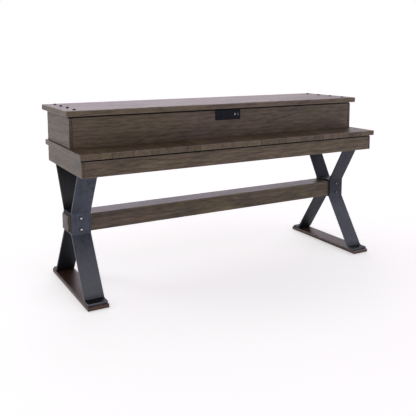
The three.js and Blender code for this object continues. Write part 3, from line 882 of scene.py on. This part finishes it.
def washer(bm, seat, axis, outer, inner, thick):
    """A flat ring standing on seat."""
    lip = thick * 0.25
    rings = [(inner, 0.0), (outer, 0.0), (outer, thick - lip), (outer - lip, thick), (inner, thick)]
    add_turned(bm, rings, seat, axis, hollow=True)


def hex_nut(bm, seat, axis, corner, height):
    """A hexagon nut with chamfered ends, standing on seat."""
    cham = height * 0.12
    rings = [(corner * 0.9, 0.0, HEX_SIDES), (corner, cham, HEX_SIDES),
             (corner, height - cham, HEX_SIDES), (corner * 0.9, height, HEX_SIDES)]
    add_turned(bm, rings, seat, axis)


class BARTABLE_OT_clamp_bolts(Build):
    """Bolts through the clamps, with their washers and nuts"""

    bl_idname = "bartable.clamp_bolts"
    bl_label = "Clamp bolts"

    head_height = 5.0 * MM
    thread_past = 9.0 * MM
    shank = 4.0 * MM

    def build(self, table):
        steel = table.steel
        for end, _ in ENDS:
            bolts, dark = new_mesh(), new_mesh()
            nodes = [f"clamp_bolt_{end}_{level}" for level in ("lower", "upper")]
            for node in nodes:
                low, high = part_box(node)
                spot = (low + high) / 2
                face = Vector((spot.x, low.y + self.head_height, spot.z))
                rear = Vector((spot.x, high.y - self.thread_past, spot.z))
                washer(dark, face, (0, -1, 0), steel.washer_radius, self.shank, steel.washer_thick)
                button_head(bolts, face - Vector((0, steel.washer_thick, 0)), (0, -1, 0))
                washer(bolts, rear, (0, 1, 0), steel.washer_radius, self.shank,
                       steel.washer_thick)
                seat = rear + Vector((0, steel.washer_thick, 0))
                hex_nut(bolts, seat, (0, 1, 0), steel.nut_corner, steel.nut_height)
                threaded(bolts, seat, (0, 1, 0), self.shank, high.y - seat.y, steel.pitch)
            shown(bolts, f"clamp_bolts_{end}", zinc_plate(), nodes)
            shown(dark, f"clamp_washers_{end}", black_iron())


class BARTABLE_OT_frame_bolts(Build):
    """Bolts of the foot flanges and the top flanges, and the screws of the clamp plates"""

    bl_idname = "bartable.frame_bolts"
    bl_label = "Frame bolts"

    head_height = 5.0 * MM
    bar_thick = 10.0 * MM
    top_bolt_reach = 226.0 * MM
    plate_screws = (-26.0 * MM, 26.0 * MM)
    screw_head = ((3.6, 0.0), (3.6, 0.5), (3.2, 1.3), (2.2, 1.9), (1.7, 2.0), (1.4, 2.0, HEX_SIDES),
                  (1.35, 0.9, HEX_SIDES))

    def build(self, table):
        steel = table.steel
        centre = middle("stretcher_beam").y
        for end, _ in ENDS:
            bm = new_mesh()
            nodes = [f"foot_bolt_{end}_{side}" for side, _ in SIDES]
            for node in nodes:
                low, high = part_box(node)
                seat = Vector(((low.x + high.x) / 2, (low.y + high.y) / 2,
                               high.z - self.head_height))
                self.bolt(bm, steel, seat, (0, 0, 1))
            for side, sign in SIDES:
                bar_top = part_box(f"leg_bar_{end}_{side}")[1].z
                seat = Vector((middle(f"leg_bar_{end}_{side}").x,
                               centre + sign * self.top_bolt_reach, bar_top - self.bar_thick))
                self.bolt(bm, steel, seat, (0, 0, -1))
            for level, sign in (("lower", -1), ("upper", 1)):
                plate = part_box(f"clamp_plate_{end}_{level}")[(sign + 1) // 2]
                spot = middle(f"clamp_plate_{end}_{level}")
                for reach in self.plate_screws:
                    add_turned(bm, scaled(self.screw_head), (spot.x + reach, spot.y, plate.z),
                               (0, 0, sign))
            shown(bm, f"frame_bolts_{end}", black_iron(), nodes)

    def bolt(self, bm, steel, seat, axis):
        washer(bm, seat, axis, steel.washer_radius, STEM_RADIUS * MM, steel.washer_thick)
        button_head(bm, seat + Vector(axis) * steel.washer_thick, axis)


class BARTABLE_OT_nails(Build):
    """Forged nail heads in the riser top"""

    bl_idname = "bartable.nails"
    bl_label = "Nail heads"

    profile = ((7.4, -0.4), (8.0, 0.3), (7.7, 2.0), (6.5, 3.9), (4.2, 5.1), (1.5, 5.5))
    hammering = 0.39 * MM  # the deepest mark
    sides = 14

    def build(self, table):
        for end, _ in ENDS:
            nodes = [f"top_nail_{end}_{i}" for i in range(1, 5)]
            bm = new_mesh()
            for node in nodes:
                spot = middle(node)
                seat = Vector((spot.x, spot.y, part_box("riser_top")[1].z))
                old = set(bm.verts)
                add_turned(bm, scaled(self.profile), seat, sides=self.sides)
                for vert in bm.verts:
                    if vert not in old and vert.co.z > seat.z:
                        self.hammer(vert, seat)
            shown(bm, f"nails_{end}", black_iron(), nodes)

    def hammer(self, vert, seat):
        """Moves a point in a little, towards the nail's own middle."""
        depth = self.rng.uniform(0.0, self.hammering)
        vert.co += (seat - vert.co).normalized() * depth


# --- power unit ----------------------------------------------------------------------------------
class BARTABLE_OT_power_unit(Build):
    """Face plate, housing, outlets, shutters and ports"""

    bl_idname = "bartable.power_unit"
    bl_label = "Power unit"

    port = (5.4 * MM, 15.0 * MM, 13.0 * MM)
    port_fit = 0.15 * MM
    contact = (0.25 * MM, 6.0 * MM, 1.2 * MM)
    contact_pitch = 2.5 * MM

    def build(self, table):
        power = table.power
        satin = moulded_plastic("plastic", 0.42)
        matt = moulded_plastic("plastic", 0.55)
        refined("power_bezel", "power_face", satin, 0.9 * MM)
        refined("power_housing", "power_body", matt, 0.4 * MM)
        refined("outlet_block", "outlet_face", satin, 0.3 * MM)
        refined("usb_block", "usb_face", satin, 0.3 * MM)
        for end, _ in ENDS:
            refined(f"outlet_shutter_{end}", f"shutter_plate_{end}", moulded_plastic("nylon", 0.5),
                    0.25 * MM, body=f"shutter_{end}")
        self.ports(power)
        self.screws(power)

    def ports(self, power):
        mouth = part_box("usb_block")[0].y
        deep = self.port[1]
        shells = new_mesh()
        for opening in frame["record"]["physics"]["openings"]:
            if not opening["name"].startswith("usb_port"):
                continue
            near, far = (Vector(corner) for corner in opening["box_m"])
            spot = (near + far) / 2
            self.shell(shells, power, spot, mouth + 0.2 * MM)
            first = opening["name"].endswith("left")
            tongue = new_mesh()
            half = Vector((power.tongue_wide / 2, 0, power.tongue_high / 2))
            root = Vector((spot.x, mouth + deep, spot.z))
            tip = Vector((spot.x, mouth + power.tongue_back, spot.z))
            add_block(tongue, tip - half, root + half, 0.3 * MM)
            shade = "tongue" if first else "spare_tongue"
            shown(tongue, opening["name"] + "_tongue", moulded_plastic(shade, 0.3))
            self.contacts(shells, tip + Vector((half.x, 0, 0)))
        shown(shells, "usb_contacts", contact_metal())

    def shell(self, bm, power, spot, mouth):
        """The folded sheet that lines a port: an open box with walls."""
        wide, deep, high = (size - self.port_fit for size in self.port)
        centre = Vector((spot.x, mouth + deep / 2, spot.z))
        old = set(bm.faces)
        sized = Matrix.Diagonal((wide, deep, high, 1.0))
        bmesh.ops.create_cube(bm, size=1.0, matrix=Matrix.Translation(centre) @ sized)
        front = [f for f in bm.faces if f not in old and f.normal.y < -0.5]
        bmesh.ops.delete(bm, geom=front, context="FACES_ONLY")
        walls = [f for f in bm.faces if f not in old]
        bmesh.ops.solidify(bm, geom=walls, thickness=power.shell_thick)
        number_faces(bm, old, PLAIN)

    def contacts(self, bm, side):
        """Four spring contacts along one side of a tongue."""
        thick, run, high = self.contact
        for i in range(4):
            z = side.z + (i - 1.5) * self.contact_pitch
            add_block(bm, (side.x - thick, side.y + 1.0 * MM, z - high / 2),
                      (side.x + thick, side.y + 1.0 * MM + run, z + high / 2), 0.1 * MM)

    def screws(self, power):
        low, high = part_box("power_bezel")
        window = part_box("usb_block")
        bm = new_mesh()
        radius = power.screw_radius
        rings = [(radius, -0.4 * MM), (radius, 0.1 * MM), (radius * 0.8, 0.5 * MM),
                 (radius * 0.5, 0.55 * MM), (radius * 0.4, 0.55 * MM, HEX_SIDES),
                 (radius * 0.38, 0.1 * MM, HEX_SIDES)]
        for z in ((low.z + window[0].z) / 2, (high.z + window[1].z) / 2):
            add_turned(bm, rings, ((low.x + high.x) / 2, low.y, z), (0, -1, 0))
        shown(bm, "power_face_screws", black_iron())


class BARTABLE_OT_grommet(Build):
    """Ring that lines the cord hole in the back"""

    bl_idname = "bartable.grommet"
    bl_label = "Cord grommet"

    def build(self, table):
        refined("cord_grommet", "cord_ring", moulded_plastic("plastic", 0.5),
                0.7 * MM)


# --- glides --------------------------------------------------------------------------------------
class BARTABLE_OT_glides(Build):
    """Levelling glides: pads, threaded studs and the nuts in the sled boards"""

    bl_idname = "bartable.glides"
    bl_label = "Levelling glides"

    stud_radius = 4.0 * MM
    foot = ((4.6, 0.0), (5.6, 0.4), (5.8, 1.2), (5.8, 2.8), (5.2, 3.7), (4.0, 4.0), (3.6, 4.3))

    def build(self, table):
        pitch = table.steel.pitch
        for end, _ in ENDS:
            for side, _ in SIDES:
                corner = f"{end}_{side}"
                refined(f"glide_pad_{corner}", f"nylon_pad_{corner}", moulded_plastic("nylon", 0.5),
                        0.5 * MM, body=f"glide_{corner}")
                refined(f"glide_nut_{corner}", f"insert_nut_{corner}", zinc_plate(),
                        0.2 * MM)
                low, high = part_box(f"glide_stud_{corner}")
                spot = (low + high) / 2
                bm = new_mesh()
                base = Vector((spot.x, spot.y, low.z))
                add_turned(bm, scaled(self.foot), base)
                start = base + Vector((0, 0, self.foot[-1][1] * MM))
                threaded(bm, start, (0, 0, 1), self.stud_radius, high.z - start.z, pitch)
                shown(bm, f"glide_screw_{corner}", zinc_plate(), [f"glide_stud_{corner}"],
                      body=f"stud_{corner}")


# --- stage ---------------------------------------------------------------------------------------
class BARTABLE_OT_stage(Build):
    """Floor, studio light and camera"""

    bl_idname = "bartable.stage"
    bl_label = "Stage"

    key_place = (-3.4, 1.5, 2.9)
    key_size = 1.6
    target = (0.0, 0.0, 0.45)
    # Each patch of bright sky: its settings, the way to it and the cosines at its edge and core
    patches = (
        ("over", (0.0, 0.0, 1.0), 0.20, 0.85),
        ("left", (-1.0, -0.1, 0.0), 0.20, 0.80),
        ("back", (0.574, 0.819, 0.0), 0.48, 0.84),
        ("sheen", (0.37, 0.925, 0.09), 0.89, 0.98),
        ("side", (0.75, -0.65, 0.0), 0.50, 0.95),
    )

    def build(self, table):
        stage = table.stage
        self.floor(stage)
        self.sky(stage)
        self.key(stage)
        self.camera(stage)

    def floor(self, stage):
        bm = bmesh.new()
        bmesh.ops.create_circle(bm, cap_ends=True, segments=96, radius=stage.floor_radius)
        mesh = bpy.data.meshes.new("studio_floor")
        bm.to_mesh(mesh)
        bm.free()
        mesh.materials.append(floor_paint())
        ground = bpy.data.objects.new("studio_floor", mesh)
        bpy.context.scene.collection.objects.link(ground)

    def sky(self, stage):
        """Soft light all round with brighter patches, and a plain backdrop behind the table."""
        world = bpy.data.worlds.new("studio_light")
        bpy.context.scene.world = world
        world.use_nodes = True
        tree = world.node_tree
        tree.nodes.clear()
        g = Graph.__new__(Graph)
        g.tree = tree
        way = g.node("TexCoord", {}, {}, "Generated")
        glow = tuple(c * stage.front_strength for c in stage.front_sky)
        for name, toward, edge, full in self.patches:
            strength = getattr(stage, name + "_strength")
            bright = tuple(c * strength for c in getattr(stage, name + "_sky"))
            sockets = {0: way, 1: Vector(toward).normalized()}
            facing = g.node("VectorMath", {"operation": "DOT_PRODUCT"}, sockets, "Value")
            glow = g.mix(facing.ease(edge, full), glow, bright)
        backdrop = g.node("LightPath", {}, {}, "Is Camera Ray")
        seen = g.mix(backdrop, glow, stage.backdrop)
        light = g.node("Background", {}, {"Color": seen, "Strength": 1.0})
        end = tree.nodes.new("ShaderNodeOutputWorld")
        tree.links.new(light.socket, end.inputs["Surface"])

    def key(self, stage):
        lamp = bpy.data.lights.new("key_light", "AREA")
        lamp.shape = "DISK"
        lamp.size = self.key_size
        lamp.energy = stage.key_power
        key = bpy.data.objects.new("key_light", lamp)
        bpy.context.scene.collection.objects.link(key)
        key.location = self.key_place
        aim = Vector(self.target) - Vector(self.key_place)
        key.rotation_euler = aim.to_track_quat("-Z", "Y").to_euler()

    def camera(self, stage):
        lens = bpy.data.cameras.new("camera")
        lens.sensor_width = 36.0
        lens.lens = stage.lens
        lens.shift_y = stage.shift
        eye = bpy.data.objects.new("camera", lens)
        bpy.context.scene.collection.objects.link(eye)
        eye.location = stage.eye
        eye.rotation_euler = (math.pi / 2 - stage.pitch, 0.0, -stage.turn)
        bpy.context.scene.camera = eye
        bpy.context.scene.view_settings.view_transform = "Standard"


# --- panel and registration ----------------------------------------------------------------------
OPERATORS = (
    BARTABLE_OT_stage,
    BARTABLE_OT_riser_top,
    BARTABLE_OT_main_top,
    BARTABLE_OT_riser_box,
    BARTABLE_OT_apron,
    BARTABLE_OT_stretcher,
    BARTABLE_OT_sleds,
    BARTABLE_OT_frames,
    BARTABLE_OT_clamp_bolts,
    BARTABLE_OT_frame_bolts,
    BARTABLE_OT_nails,
    BARTABLE_OT_power_unit,
    BARTABLE_OT_grommet,
    BARTABLE_OT_glides,
)
GROUPS = (TimberSettings, SteelSettings, PowerSettings, StageSettings, TableSettings)


class BARTABLE_PT_panel(bpy.types.Panel):
    """Settings and operators of the table"""

    bl_idname = "BARTABLE_PT_panel"
    bl_label = "Console bar table"
    bl_space_type = "VIEW_3D"
    bl_region_type = "UI"
    bl_category = "Bar Table"

    def draw(self, context):
        table = context.scene.bar_table
        self.layout.prop(table, "seed")
        for group in (table.timber, table.steel, table.power, table.stage):
            box = self.layout.box()
            for key in group.bl_rna.properties.keys():
                if key not in ("rna_type", "name"):
                    box.prop(group, key)
        for operator in OPERATORS:
            self.layout.operator(operator.bl_idname)


CLASSES = (*GROUPS, *OPERATORS, BARTABLE_PT_panel)


def register():
    for part in CLASSES:
        bpy.utils.register_class(part)
    bpy.types.Scene.bar_table = PointerProperty(type=TableSettings)


def unregister():
    del bpy.types.Scene.bar_table
    for part in reversed(CLASSES):
        bpy.utils.unregister_class(part)


def main():
    register()
    for operator in OPERATORS:
        group, call = operator.bl_idname.split(".")
        getattr(getattr(bpy.ops, group), call)()


if __name__ == "__main__":
    main()
